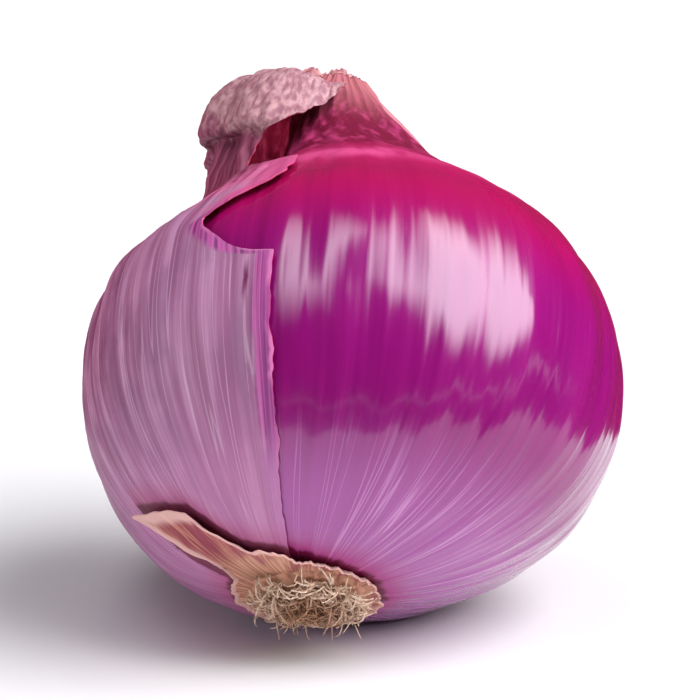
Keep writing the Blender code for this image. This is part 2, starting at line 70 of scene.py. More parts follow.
# %% Measures of the bulb
BULB_RADIUS = 31.0 * MM
BULB_HALF_HEIGHT = 27.0 * MM
FULLNESS = 0.94
NECK_TOP = 39.2 * MM
NECK_TIP_RADIUS = 3.6 * MM
PLATE_RADIUS = 7.5 * MM
SIDE_BULGE = 3.8 * MM
LEAN_BACK = math.radians(43.0)
LEAN_RIGHT = math.radians(4.0)
FLAT_DEPTH = 1.2 * MM
ROOT_LAT = -78.0
SHOULDER_LAT = 55.0
NECK_END_LAT = 90.0
LOBE_TWO = 0.25 * MM
LOBE_THREE = 0.25 * MM
RIB_COUNT = 20
RIB_HEIGHT = 0.14 * MM
NECK_CREASES = 7
NECK_CREASE_DEPTH = 0.95 * MM
NECK_START = 0.86 * BULB_HALF_HEIGHT
HOLLOW_TURN = 82.0
HOLLOW_HALF_WIDTH = 48.0
HOLLOW_RADIUS = 4.0 * MM
HOLLOW_FOOT = (23.6 * MM, 27.0 * MM)
HOLLOW_HEAD = (33.0 * MM, 37.0 * MM)
DROP_TURN = 72.0
DROP_HALF_WIDTH = 55.0
DROP_DEPTH = 4.6 * MM
DROP_HEIGHTS = (5.0 * MM, 37.0 * MM)

# %% [markdown]
# ## The curve that the bulb is turned on
# Half of the outline is a curve from the root to the neck. The body is an ellipse whose sine and
# cosine are raised to a power just under one, which fills it out a little. The neck leaves it along
# its own slope on a Bezier curve. The same functions take one number or a whole array of them, so
# they can place a hundred thousand points at once.

# %% The outline and its relief
def bezier(points, t):
    """A point, or an array of them, on a cubic Bezier curve of radius and height pairs."""
    s = 1.0 - t
    weights = (s**3, 3 * s * s * t, 3 * s * t * t, t**3)
    return tuple(sum(w * p[axis] for w, p in zip(weights, points)) for axis in (0, 1))


def body_curve(lat):
    a = np.radians(lat)
    sine = np.sign(a) * np.abs(np.sin(a)) ** FULLNESS
    return BULB_RADIUS * np.abs(np.cos(a)) ** FULLNESS, BULB_HALF_HEIGHT * sine


def neck_curve(climb):
    """The outline from the shoulder, at 0, to the neck's end, at 1."""
    start = body_curve(SHOULDER_LAT)
    below = body_curve(SHOULDER_LAT - 1.0)
    along = Vector((start[0] - below[0], start[1] - below[1])).normalized()
    leave = (start[0] + along.x * 5.2 * MM, start[1] + along.y * 5.2 * MM)
    arrive = (NECK_TIP_RADIUS + 3.2 * MM, NECK_TOP - 4.6 * MM)
    return bezier((start, leave, arrive, (NECK_TIP_RADIUS, NECK_TOP)), climb)


def meridian(lat):
    """Radius and height of the skin at a latitude in degrees, neck included."""
    lat = np.asarray(lat, dtype=float)
    climb = np.clip((lat - SHOULDER_LAT) / (NECK_END_LAT - SHOULDER_LAT), 0.0, 1.0)
    body = body_curve(np.minimum(lat, SHOULDER_LAT))
    neck = neck_curve(climb)
    above = lat > SHOULDER_LAT
    return np.where(above, neck[0], body[0]), np.where(above, neck[1], body[1])


def around(turn):
    """The angle about the axis of a turn in degrees, counted from the front towards the left."""
    return np.radians(-90.0 - np.asarray(turn, dtype=float))


def turn_of(angle):
    return (-np.degrees(angle) - 90.0 + 180.0) % 360.0 - 180.0


SKIN_HIGH_LAT = 50.0
NECK_OUTLINE = meridian(np.linspace(SKIN_HIGH_LAT, NECK_END_LAT, 60))


def ease(share):
    """A smooth step from 0 to 1."""
    t = np.clip(share, 0.0, 1.0)
    return t * t * (3.0 - 2.0 * t)


def neck_radius(height):
    """The radius of the neck's outline at a height."""
    return np.interp(height, NECK_OUTLINE[1], NECK_OUTLINE[0])


def near_turn(angle, turn, half_width):
    """How near an angle is to a turn: 1 there, and fading over a half width in degrees."""
    away = (turn_of(angle) - turn + 180.0) % 360.0 - 180.0
    return np.exp(-((away / half_width) ** 2))


def neck_creases(angle, height):
    """The folds that the drying neck pulls itself into, from -1 to 1, and how strong they are."""
    share = np.clip((height - NECK_START) / (NECK_TOP - NECK_START), 0.0, 1.0)
    twist = 1.1 * share + 0.9 * np.sin(2 * angle)
    creases = 0.6 * np.cos(NECK_CREASES * angle + 3.0 * twist)
    puckers = 0.5 * np.cos(3 * angle - 2.0 * share + 0.5)
    return creases + puckers, np.sin(math.pi * np.minimum(share * 1.15, 1.0))


def neck_hollow(angle, radius, height):
    """How deep the neck has sunk in on its left, where the dry skin stands off it."""
    outline = neck_radius(height)
    foot = ease((height - HOLLOW_FOOT[0]) / (HOLLOW_FOOT[1] - HOLLOW_FOOT[0]))
    head = 1.0 - ease((height - HOLLOW_HEAD[0]) / (HOLLOW_HEAD[1] - HOLLOW_HEAD[0]))
    depth = np.maximum(outline - HOLLOW_RADIUS, 0.0) * np.minimum(radius / outline, 1.0)
    return near_turn(angle, HOLLOW_TURN, HOLLOW_HALF_WIDTH) * foot * head * depth


def relief(angle, radius, height):
    """How far the skin stands out of the smooth bulb: lobes, ribs, neck creases and hollow."""
    share = np.minimum(radius / BULB_RADIUS, 1.0)
    lobes = LOBE_TWO * np.cos(2 * angle + 0.7) + LOBE_THREE * np.cos(3 * angle - 1.2)
    ribs = RIB_HEIGHT * np.cos(RIB_COUNT * angle + 1.4 * np.sin(3 * angle))
    creases, strength = neck_creases(angle, height)
    folds = NECK_CREASE_DEPTH * strength * creases
    return share * (lobes + ribs) + folds - neck_hollow(angle, radius, height)


def shoulder_drop(angle, height):
    """How far the left shoulder slopes down, below the even bulb."""
    share = np.clip((height - DROP_HEIGHTS[0]) / (DROP_HEIGHTS[1] - DROP_HEIGHTS[0]), 0.0, 1.0)
    return DROP_DEPTH * near_turn(angle, DROP_TURN, DROP_HALF_WIDTH) * np.sin(math.pi * share) ** 2


def axis_shift(height):
    """The bulb is fuller on its right, so its rings are not all centred on the axis."""
    return SIDE_BULGE * np.maximum(0.0, 1.0 - (height / BULB_HALF_HEIGHT) ** 4)


# %% [markdown]
# ## Fine relief
# Close to, an onion's skin isn't smooth. It has thin raised veins from root to neck, and the fleshy
# layer under it is slightly uneven from vein to vein, which is what breaks a highlight into streaks.
# Noise that is read on a circle has no seam, and noise that is stretched along the meridian gives
# streaks. The neck, which has dried, gets finer and sharper folds.

# %% Fine relief of the skin
VEIN_COUNT = 84
VEIN_HEIGHT = 0.05 * MM
STREAK_HEIGHT = 0.20 * MM
STREAKS_ROUND = 9.0
FOLD_DEPTH = 0.42 * MM


def noise_at(x, y, z):
    """Blender's own noise at each point of three arrays."""
    x, y, z = np.broadcast_arrays(x, y, z)
    values = [noise.noise(Vector(p)) for p in zip(x.ravel(), y.ravel(), z.ravel())]
    return np.array(values).reshape(x.shape)


def ragged(value, seed, size):
    """A torn edge's wander about its line, the same each time for one place."""
    coarse = noise_at(value, seed, 0.0)
    fine = noise_at(np.asarray(value) * 3.1, seed + 7.3, 0.0)
    return size * (coarse + 0.5 * fine)


def fine_relief(angle, lat):
    """Veins, streaks and the neck's small folds, in metres."""
    body = np.clip((SHOULDER_LAT + 8.0 - lat) / 20.0, 0.0, 1.0) * np.clip((lat + 84.0) / 20.0, 0.0, 1.0)
    cosine, sine = np.cos(angle), np.sin(angle)
    bend = 0.5 * np.sin(3 * angle + 1.0) + 0.35 * np.sin(5 * angle + np.radians(lat))
    veins = np.maximum(0.0, np.cos(VEIN_COUNT * angle + 2.2 * bend)) ** 6
    streaks = noise_at(STREAKS_ROUND * cosine, STREAKS_ROUND * sine, lat / 16.0)
    broad = noise_at(2.6 * cosine + 9.0, 2.6 * sine, lat / 34.0)
    neck = ease((lat - 60.0) / 18.0)
    turned = angle + 0.35 * neck
    folds = noise_at(5.2 * np.cos(turned), 5.2 * np.sin(turned), lat / 24.0 + 5.0)
    sharp = 0.35 - np.abs(folds) * 1.6
    return (
        body * (VEIN_HEIGHT * veins + STREAK_HEIGHT * streaks + 0.22 * MM * broad)
        + neck * FOLD_DEPTH * sharp
    )


def skin_point(angle, lat, lift):
    """Points that stand off the bulb's skin by lift, square to its smooth outline."""
    radius, height = meridian(lat)
    low = meridian(lat - 0.5)
    high = meridian(np.minimum(lat + 0.5, NECK_END_LAT))
    along = np.stack((high[0] - low[0], high[1] - low[1]))
    along = along / np.linalg.norm(along, axis=0)
    lift = lift + fine_relief(angle, lat)
    out = radius + relief(angle, radius, height) + along[1] * lift
    x = out * np.cos(angle) + axis_shift(height)
    level = height - along[0] * lift - shoulder_drop(angle, height)
    return np.stack((x, out * np.sin(angle), level), axis=-1)


# %% [markdown]
# ## Laying the onion down
# The onion lies on its side with the neck up and back. A rotation leans it, and the lowest part of
# its skin then says where the ground is. The ground is a little higher than that lowest point, and
# what would sink under it is pressed flat, so the onion rests on a small flat spot and doesn't roll.

# %% Where the onion lies
LAID_DOWN = Euler((-LEAN_BACK, LEAN_RIGHT, 0.0)).to_matrix()
LEAN = np.array(LAID_DOWN)


def resting_place():
    angles, lats = np.meshgrid(
        np.linspace(0.0, math.tau, 240, endpoint=False), np.linspace(ROOT_LAT, 30.0, 160)
    )
    radius, height = meridian(lats)
    out = radius + relief(angles, radius, height)
    points = np.stack((out * np.cos(angles) + axis_shift(height), out * np.sin(angles), height), axis=-1)
    world = points.reshape(-1, 3) @ LEAN.T
    level = world[:, 2].min() + FLAT_DEPTH
    spot = world[world[:, 2] < level]
    middle = (spot.min(axis=0) + spot.max(axis=0)) / 2.0
    return np.array((-middle[0], -middle[1], -level))


PLACE = resting_place()


def lay_down(points, clearance=0.0):
    """Points on the upright onion, moved to where it lies, and none of them under the ground."""
    world = points @ LEAN.T + PLACE
    world[..., 2] = np.maximum(world[..., 2], clearance)
    return world


CENTRE = lay_down(np.zeros(3))
print("the bulb's centre lies at", np.round(CENTRE / MM, 1), "mm")

# %% [markdown]
# ## The camera
# The photograph looks slightly down on the onion from straight in front. A long lens from further
# away keeps the shape as a studio photograph shows it, without the bulge of a close camera.

# %% Camera
CAMERA_HEIGHT_ANGLE = math.radians(17.0)
CAMERA_DISTANCE = 0.75
FRAME_WIDTH = 82.0 * MM
SENSOR = 36.0

camera_data = bpy.data.cameras.new("camera")
camera = bpy.data.objects.new("camera", camera_data)
bpy.context.scene.collection.objects.link(camera)
bpy.context.scene.camera = camera
camera_data.sensor_width = SENSOR
camera_data.lens = SENSOR * CAMERA_DISTANCE / FRAME_WIDTH

back = Vector((0.0, -math.cos(CAMERA_HEIGHT_ANGLE), math.sin(CAMERA_HEIGHT_ANGLE)))
aim = Vector((CAD_BOX[0] + CAD_BOX[1]) / 2.0) + Vector((0.0, 0.0, 0.7 * MM))
camera.location = aim + back * CAMERA_DISTANCE
camera.rotation_euler = back.to_track_quat("Z", "Y").to_euler()
print("camera lens", round(camera_data.lens), "mm, aimed at", [round(c / MM, 1) for c in aim])

# %% [markdown]
# ## Floor, lights and background
# A glossy skin shows its surroundings, so they are part of its look. The pale floor mirrors in the
# lower half of the bulb and turns it mauve. A large soft light above and to the right gives the big
# pale highlight. What faces the camera is left dim, and so the skin between them stays deep magenta.

# %% Colours and nodes
def to_linear(hex_colour):
    """An sRGB hex colour as linear red, green and blue, with alpha."""
    parts = [int(hex_colour[i : i + 2], 16) / 255.0 for i in (1, 3, 5)]
    linear = [c / 12.92 if c <= 0.04045 else ((c + 0.055) / 1.055) ** 2.4 for c in parts]
    return (*linear, 1.0)


def add_node(tree, kind, inputs=None, **settings):
    """Adds a node. Settings are its properties, and each input is a value or an output to link."""
    node = tree.nodes.new(kind)
    for name, value in settings.items():
        setattr(node, name, value)
    for name, value in (inputs or {}).items():
        if isinstance(value, bpy.types.NodeSocket):
            tree.links.new(value, node.inputs[name])
        else:
            node.inputs[name].default_value = value
    return node


# %% Floor
def deselect_all():
    for obj in bpy.context.selected_objects:
        obj.select_set(False)


FLOOR_SIZE = 6.0
deselect_all()
bpy.ops.mesh.primitive_plane_add(size=FLOOR_SIZE, location=(0.0, 0.0, 0.0))
floor = bpy.context.object
floor.name = "floor"
floor_paint = bpy.data.materials.new("matt_white_card")
floor_paint.use_nodes = True
floor_shader = floor_paint.node_tree.nodes["Principled BSDF"]
floor_shader.inputs["Base Color"].default_value = to_linear("#e4e4e4")
floor_shader.inputs["Roughness"].default_value = 0.9
floor_shader.inputs["Specular IOR Level"].default_value = 0.1
floor.data.materials.append(floor_paint)

# %% Soft lights
def softbox(name, direction, distance, size, power, colour, soft=0.3, roll=0.0):
    """An area light that faces the bulb's centre and dims towards its edges, as a softbox does."""
    data = bpy.data.lights.new(name, "AREA")
    data.shape = "RECTANGLE"
    data.size = size[0]
    data.size_y = size[1]
    data.energy = power
    data.color = to_linear(colour)[:3]
    data.use_nodes = True
    tree = data.node_tree
    spot = add_node(tree, "ShaderNodeNewGeometry").outputs["Parametric"]
    off = add_node(tree, "ShaderNodeVectorMath", {0: spot, 1: (0.5, 0.5, 0.0)}, operation="SUBTRACT")
    off = add_node(tree, "ShaderNodeVectorMath", {0: off.outputs[0]}, operation="ABSOLUTE")
    parts = add_node(tree, "ShaderNodeSeparateXYZ", {0: off.outputs[0]})
    most = add_node(tree, "ShaderNodeMath", {0: parts.outputs[0], 1: parts.outputs[1]}, operation="MAXIMUM")
    glow = add_node(
        tree,
        "ShaderNodeMapRange",
        {0: most.outputs[0], 1: 0.5, 2: 0.5 - soft, 3: 0.0, 4: 1.0},
        interpolation_type="SMOOTHSTEP",
    )
    tree.links.new(glow.outputs[0], tree.nodes["Emission"].inputs["Strength"])
    light = bpy.data.objects.new(name, data)
    bpy.context.scene.collection.objects.link(light)
    out = Vector(direction).normalized()
    light.location = Vector(CENTRE) + out * distance
    facing = out.to_track_quat("Z", "Y").to_matrix() @ Matrix.Rotation(math.radians(roll), 3, "Z")
    light.rotation_euler = facing.to_euler()
    light.visible_camera = False
    return light


softbox("key_softbox", (0.66, -0.18, 0.708), 1.8, (2.4, 2.3), 140.0, "#fcfbff", soft=0.3)
softbox("side_strip", (-0.22, -0.26, 0.94), 1.8, (0.85, 2.2), 37.0, "#fbfaff", soft=0.5, roll=4.0)
softbox("left_softbox", (-0.93, -0.28, 0.25), 1.6, (1.0, 1.0), 13.0, "#fbfaff")

# %% [markdown]
# ## Dark cards
# In a white studio a glossy ball mirrors white all round its rim. The photographed onion lies among
# others, which its flanks mirror instead. Two dark red cards stand in for them, out of the camera's
# sight. They are cut from cylinders that have no end faces, and only reflections see them.

# %% Dark cards
BACK_CARD = {"radius": 75.0 * MM, "height": 80.0 * MM, "facing": 90.0, "colour": "#a81c54"}
FRONT_CARD = {"radius": 140.0 * MM, "height": 30.0 * MM, "facing": -90.0, "colour": "#3a0a20"}
CARD_SPREAD = 200.0


def dark_card(radius, height, facing, colour):
    """A curved card that keeps the skin's flanks and shoulder deep."""
    deselect_all()
    bpy.ops.mesh.primitive_cylinder_add(
        vertices=72, radius=radius, depth=height, end_fill_type="NOTHING", location=(0.0, 0.0, height / 2.0)
    )
    card = bpy.context.object
    card.name = "dark_card"
    bpy.ops.object.mode_set(mode="EDIT")
    bpy.ops.mesh.select_all(action="DESELECT")
    bpy.ops.object.mode_set(mode="OBJECT")
    for face in card.data.polygons:
        away = math.degrees(math.atan2(face.center.y, face.center.x)) - facing
        face.select = abs((away + 180.0) % 360.0 - 180.0) > CARD_SPREAD / 2.0
    bpy.ops.object.mode_set(mode="EDIT")
    bpy.ops.mesh.delete(type="FACE")
    bpy.ops.object.mode_set(mode="OBJECT")
    card_paint = bpy.data.materials.new("dark_red_card")
    card_paint.use_nodes = True
    card_shader = card_paint.node_tree.nodes["Principled BSDF"]
    card_shader.inputs["Base Color"].default_value = to_linear(colour)
    card_shader.inputs["Roughness"].default_value = 1.0
    card.data.materials.append(card_paint)
    card.visible_camera = False
    card.visible_diffuse = False
    card.visible_shadow = False


dark_card(**BACK_CARD)
dark_card(**FRONT_CARD)

# %% Background
world = bpy.data.worlds.new("white_studio")
bpy.context.scene.world = world
world.use_nodes = True
sky = world.node_tree
sky.nodes.clear()
rays = add_node(sky, "ShaderNodeLightPath")
seen = add_node(sky, "ShaderNodeBackground", {"Color": (1.0, 1.0, 1.0, 1.0), "Strength": 1.0})
dim = add_node(sky, "ShaderNodeBackground", {"Color": (1.0, 1.0, 1.0, 1.0), "Strength": 0.05})
both = add_node(
    sky,
    "ShaderNodeMixShader",
    {0: rays.outputs["Is Camera Ray"], 1: dim.outputs[0], 2: seen.outputs[0]},
)
add_node(sky, "ShaderNodeOutputWorld", {"Surface": both.outputs[0]})
bpy.context.scene.view_settings.view_transform = "Standard"
print("floor, two softboxes and a white background")

# %% [markdown]
# ## Where the collar ends
# The last of the outermost skin clings round the root plate in a torn ring, and on the left it runs
# out in one long flap. Its outline is too uneven for a formula, so it goes through places that are
# listed one by one. Other pieces take a crimson stain and a painted shadow along it, and so its
# course comes first.

# %% The collar's torn edge
COLLAR_START_LAT = -80.0
# The turn each fibre leaves the plate at, the turn and latitude it ends at, and its lift in mm there
COLLAR_EDGE = np.array(
    (
        (-180, -180, -74.5, 1.0),
        (-125, -125, -76.0, 0.7),
        (-75, -75, -77.2, 0.5),
        (-30, -30, -77.2, 0.6),
        (0, 0, -76.0, 0.9),
        (12, 12, -74.2, 1.2),
        (24, 24, -71.0, 1.3),
        (37, 39, -68.2, 1.4),
        (40, 44, -67.0, 1.5),
        (43, 49.5, -61.2, 1.6),
        (46, 54.5, -56.5, 1.7),
        (49, 57.5, -52.0, 1.7),
        (56, 68, -48.5, 1.7),
        (64, 82.5, -43.0, 1.6),
        (66, 79, -52.0, 1.0),
        (68, 76, -57.8, 0.8),
        (70, 73.5, -63.5, 0.8),
        (72, 73.5, -70.0, 0.8),
        (77, 77, -74.0, 0.9),
        (180, 180, -74.5, 1.0),
    )
).T


def collar_rag(angle):
    """The small teeth of the torn edge, in degrees of latitude."""
    teeth = 0.9 * noise_at(6.0 * np.cos(angle), 6.0 * np.sin(angle), 4.0)
    return teeth + 0.7 * noise_at(19.0 * np.cos(angle), 19.0 * np.sin(angle), 8.0)


def collar_edge(angle):
    """The latitude up to which the collar reaches, for what lies under it."""
    turns = np.maximum.accumulate(COLLAR_EDGE[1])
    return np.interp(turn_of(angle), turns, COLLAR_EDGE[2]) + collar_rag(angle)


# %% [markdown]
# ## The bulb
# A sphere with many rings is nearly a bulb already. Its rings are slid along the outline, one after
# the other, so that each keeps its own row of faces, and the last few turn down into the open end of
# the neck. The points then take the relief. A turned profile would do as well, but a sphere comes
# with both of its poles closed.

# %% Helpers for meshes
def points_of(mesh):
    flat = np.empty(len(mesh.vertices) * 3, dtype=np.float32)
    mesh.vertices.foreach_get("co", flat)
    return flat.reshape(-1, 3).astype(float)


def move_points(mesh, points):
    mesh.vertices.foreach_set("co", points.astype(np.float32).ravel())
    mesh.update()


def remember(mesh, name, values):
    """Keeps a number or a vector on each point, for the materials to read."""
    if values.ndim == 1:
        layer = mesh.attributes.new(name, "FLOAT", "POINT")
        layer.data.foreach_set("value", values.astype(np.float32))
    else:
        layer = mesh.attributes.new(name, "FLOAT_VECTOR", "POINT")
        layer.data.foreach_set("vector", values.astype(np.float32).ravel())


def skin_place(angle, lat):
    """Where a point is on the skin: a circle round the axis, and how far up from the root."""
    return np.stack((np.cos(angle), np.sin(angle), np.asarray(lat) / 90.0 + 0.0 * angle), axis=-1)


# %% Shape the bulb
BULB_SEGMENTS = 540
BODY_RINGS = 118
NECK_RINGS = 44
WELL_RINGS = 8
WELL_DEPTH = 3.6 * MM


def make_bulb():
    rings = BODY_RINGS + NECK_RINGS + WELL_RINGS
    deselect_all()
    bpy.ops.mesh.primitive_uv_sphere_add(segments=BULB_SEGMENTS, ring_count=rings, radius=1.0)
    obj = bpy.context.object
    obj.name = "glossy_bulb"
    points = points_of(obj.data)
    angle = np.arctan2(points[:, 1], points[:, 0])
    ring = (np.degrees(np.arcsin(np.clip(points[:, 2], -1.0, 1.0))) + 90.0) / 180.0 * rings
    body_lat = -90.0 + (SHOULDER_LAT + 90.0) * ring / BODY_RINGS
    neck_lat = SHOULDER_LAT + (NECK_END_LAT - SHOULDER_LAT) * (ring - BODY_RINGS) / NECK_RINGS
    lat = np.clip(np.where(ring <= BODY_RINGS, body_lat, neck_lat), -90.0, NECK_END_LAT)
    placed = skin_point(angle, lat, 0.0)
    well = np.clip((ring - BODY_RINGS - NECK_RINGS) / WELL_RINGS, 0.0, 1.0)
    placed[:, :2] *= (1.0 - well ** 1.5)[:, None]
    placed[:, 2] -= WELL_DEPTH * np.minimum(well * 2.5, 1.0)
    move_points(obj.data, lay_down(placed))
    radius, height = meridian(lat)
    creases, strength = neck_creases(angle, height)
    remember(obj.data, "skin_place", skin_place(angle, lat))
    remember(obj.data, "fold", creases * strength)
    remember(obj.data, "above_collar", lat - collar_edge(angle))
    bpy.ops.object.shade_smooth()
    return obj


bulb = make_bulb()
print("bulb:", len(bulb.data.polygons), "faces")

# %% [markdown]
# ## The dry outer skin
# The dry skin is a sheet of paper, torn open down its front. A flat grid is laid on the bulb by two
# numbers, u from its front edge round to its back edge and v from its lower edge to the top of its
# withered neck. The torn edges wander by noise, and the front edge lifts and curls off the bulb.
# Solidify then gives the sheet the thickness of real skin.

# %% Measures of the dry skin
SKIN_GAP = 0.35 * MM
NECK_GAP = 0.9 * MM
SKIN_PAPER = 0.18 * MM
SKIN_LOW_LAT = -75.5
SKIN_FRONT_TURN = 19.5
SKIN_BACK_TURN = 150.0
NOTCH_LAT = 16.5
NOTCH_BELOW = 13.0
NOTCH_ABOVE = 16.0
NOTCH_DEPTH = 19.0
NOTCH_SQUARE = 0.4
EDGE_CURL = 0.5 * MM
EDGE_HUG = 0.2 * MM
HOOD_SHARE = 0.36
HOOD_CRUMPLE = 0.6 * MM
HOOD_RAG = 3.0
# Rows of the hood's net from the shoulder up: turn, radius and height of places from front to back
HOOD_NET = np.array(
    (
        ((44, 15.6, 24.6), (72, 15.8, 25.2), (98, 16.0, 25.8), (138, 16.2, 25.3), (176, 16.6, 24.4)),
        ((39, 13.2, 27.8), (66, 13.4, 30.0), (95, 14.2, 30.8), (138, 14.6, 29.0), (180, 14.0, 27.2)),
        ((27, 13.6, 28.6), (60, 15.2, 30.4), (93, 15.5, 31.4), (138, 14.2, 31.4), (180, 12.6, 30.0)),
        ((14, 10.8, 31.2), (52, 13.6, 33.8), (91, 14.8, 34.6), (136, 12.8, 34.0), (178, 10.8, 33.2)),
        ((0, 8.2, 34.2), (45, 10.4, 36.9), (88, 12.2, 37.2), (132, 10.2, 38.0), (172, 8.8, 37.8)),
        ((-6, 6.4, 35.8), (40, 7.0, 35.4), (84, 8.0, 38.6), (128, 7.0, 39.8), (168, 6.4, 39.8)),
    )
)


def notch_depth(lat):
    """How far the notch that shows the bulb's dark skin cuts in, in degrees of turn."""
    reach = np.where(lat < NOTCH_LAT, NOTCH_BELOW, NOTCH_ABOVE)
    notch = np.maximum(0.0, 1.0 - np.abs(lat - NOTCH_LAT) / reach)
    return NOTCH_DEPTH * np.where(lat < NOTCH_LAT, notch**NOTCH_SQUARE, notch)


def front_edge(lat):
    """The turn of the torn front edge, without its notch."""
    return SKIN_FRONT_TURN + ragged(lat * 0.13, 2.0, 1.2) + ragged(lat * 0.5, 4.0, 0.16)


def back_edge(lat):
    return SKIN_BACK_TURN + ragged(lat * 0.11, 31.0, 6.0) + ragged(lat * 0.5, 33.0, 0.6)


# %% The hood beside the neck
def smooth_run(rows, share):
    """Places on smooth curves through rows of places, each at its own share of the way along."""
    last = len(rows) - 1
    at = np.clip(share, 0.0, 1.0) * last
    step = np.minimum(at.astype(int), last - 1)
    t = (at - step)[:, None]
    column = np.arange(len(at))
    before, here, there, after = (rows[np.clip(step + k, 0, last), column] for k in (-1, 0, 1, 2))
    return 0.5 * (
        2 * here
        + (there - before) * t
        + (2 * before - 5 * here + 4 * there - after) * t**2
        + (3 * (here - there) + after - before) * t**3
    )


def hood_point(u, foot_turn, climb):
    """The dry skin's own neck, from its foot on the shoulder to its end over the bulb's neck."""
    radius, height = meridian(np.full_like(u, SKIN_HIGH_LAT))
    rows = [np.column_stack((foot_turn, radius / MM, height / MM))]
    for row in HOOD_NET:
        rows.append(smooth_run(np.broadcast_to(row[:, None, :], (len(row), len(u), 3)), u))
    turn, out, up = smooth_run(np.array(rows), climb).T
    rag = ragged(climb * 13.0, 41.0, HOOD_RAG) * (1.0 - u) ** 8 * np.minimum(climb * 4.0, 1.0)
    angle = around(turn + rag)
    out = out * MM
    up = up * MM
    crumple = noise_at(6.0 * np.cos(angle), 6.0 * np.sin(angle), 2.5 * climb)
    crumple = crumple + 0.5 * noise_at(15.0 * np.cos(angle), 15.0 * np.sin(angle), 9.0 * climb)
    crumple = crumple + 0.45 * noise_at(24.0 * np.cos(angle), 24.0 * np.sin(angle), 22.0 * climb)
    out = out + relief(angle, out, up) + neck_hollow(angle, out, up)
    out = out + HOOD_CRUMPLE * np.minimum(climb * 3.0, 1.0) * (crumple + climb * np.sin(8.0 * angle))
    neck = neck_radius(up)
    clear = neck + relief(angle, neck, up) + NECK_GAP * np.minimum(climb * 7.0, 1.0)
    out = np.where(up < NECK_TOP, np.maximum(out, clear), out)
    lift = SKIN_GAP / math.sqrt(2.0)
    x = out * np.cos(angle) + axis_shift(up)
    y = out * np.sin(angle)
    level = up + lift - shoulder_drop(angle, up)
    return angle, np.stack((x + lift * np.cos(angle), y + lift * np.sin(angle), level), axis=-1)


# %% Lay the dry skin
def grid_sheet(name, columns, rows):
    """A flat grid, with the u and v of each of its points from 0 to 1."""
    deselect_all()
    bpy.ops.mesh.primitive_grid_add(x_subdivisions=columns, y_subdivisions=rows, size=2.0)
    obj = bpy.context.object
    obj.name = name
    points = points_of(obj.data)
    return obj, (points[:, 0] + 1.0) / 2.0, (points[:, 1] + 1.0) / 2.0


def turn_faces_out(obj, centre):
    """Flips a sheet whose faces look in at the bulb, so that its thickness grows outwards."""
    away = sum(f.area * f.normal.dot(f.center - Vector(centre)) for f in obj.data.polygons)
    bpy.ops.object.mode_set(mode="EDIT")
    bpy.ops.mesh.select_all(action="SELECT")
    if away < 0.0:
        bpy.ops.mesh.flip_normals()
    bpy.ops.object.mode_set(mode="OBJECT")


def thicken(obj, thickness):
    solidify = obj.modifiers.new("thickness", "SOLIDIFY")
    solidify.thickness = thickness
    solidify.offset = 1.0
    bpy.ops.object.modifier_apply(modifier=solidify.name)


def make_dry_skin():
    obj, u, v = grid_sheet("dry_outer_skin", 150, 210)
    climb = np.maximum(0.0, (v - 1.0 + HOOD_SHARE) / HOOD_SHARE)
    share = np.minimum(v / (1.0 - HOOD_SHARE), 1.0)
    lat = SKIN_LOW_LAT + (SKIN_HIGH_LAT - SKIN_LOW_LAT) * share
    front = front_edge(lat)
    cut = notch_depth(lat)
    turn = front + (back_edge(lat) - front) * u + cut * (1.0 - u) ** 4
    front = front + cut
    angle = around(turn)
    hood_angle, hood = hood_point(u, turn, climb)

    low_rag = ragged(turn * 0.12, 17.0, 1.2) + ragged(turn * 0.8, 19.0, 0.5)
    skin_lat = lat + low_rag * np.clip(1.0 - share * 12.0, 0.0, 1.0)
    near_front = np.exp(-(turn - front) / 5.0)
    fade = np.minimum(1.0, (SKIN_HIGH_LAT - lat) / 25.0) * ease((lat + 45.0) / 30.0)
    hug = EDGE_HUG * near_front * ease((-10.0 - lat) / 30.0)
    wrinkle = 0.10 * MM * noise_at(16.0 * np.cos(angle), 16.0 * np.sin(angle), lat / 18.0)
    on_bulb = skin_point(angle, skin_lat, SKIN_GAP - hug + EDGE_CURL * fade * near_front + wrinkle)

    placed = np.where((climb > 0.0)[:, None], hood, on_bulb)
    move_points(obj.data, lay_down(placed, SKIN_PAPER))
    angle = np.where(climb > 0.0, hood_angle, angle)
    remember(obj.data, "skin_place", skin_place(angle, lat + 40.0 * climb))
    remember(obj.data, "from_edge", turn - front)
    remember(obj.data, "above_collar", lat + 90.0 * climb - collar_edge(angle))
    turn_faces_out(obj, CENTRE)
    thicken(obj, SKIN_PAPER)
    both_sides = np.arange(len(obj.data.vertices))
    remember(obj.data, "inside", (both_sides >= len(u)).astype(float))
    bpy.ops.object.shade_smooth_by_angle(angle=math.radians(50.0))
    return obj


dry_skin = make_dry_skin()
print("dry skin:", len(dry_skin.data.polygons), "faces")

# %% [markdown]
# ## The collar round the roots
# The collar is laid like the dry skin, with u all the way round. Its rim has dried most, so it curls
# up off the bulb, and so do both edges of the flap.

# %% The collar
COLLAR_PAPER = 0.2 * MM
RIM_CURL = 0.4 * MM
RIM_REACH = 16.0
FLAP_BACK = slice(13, 18)


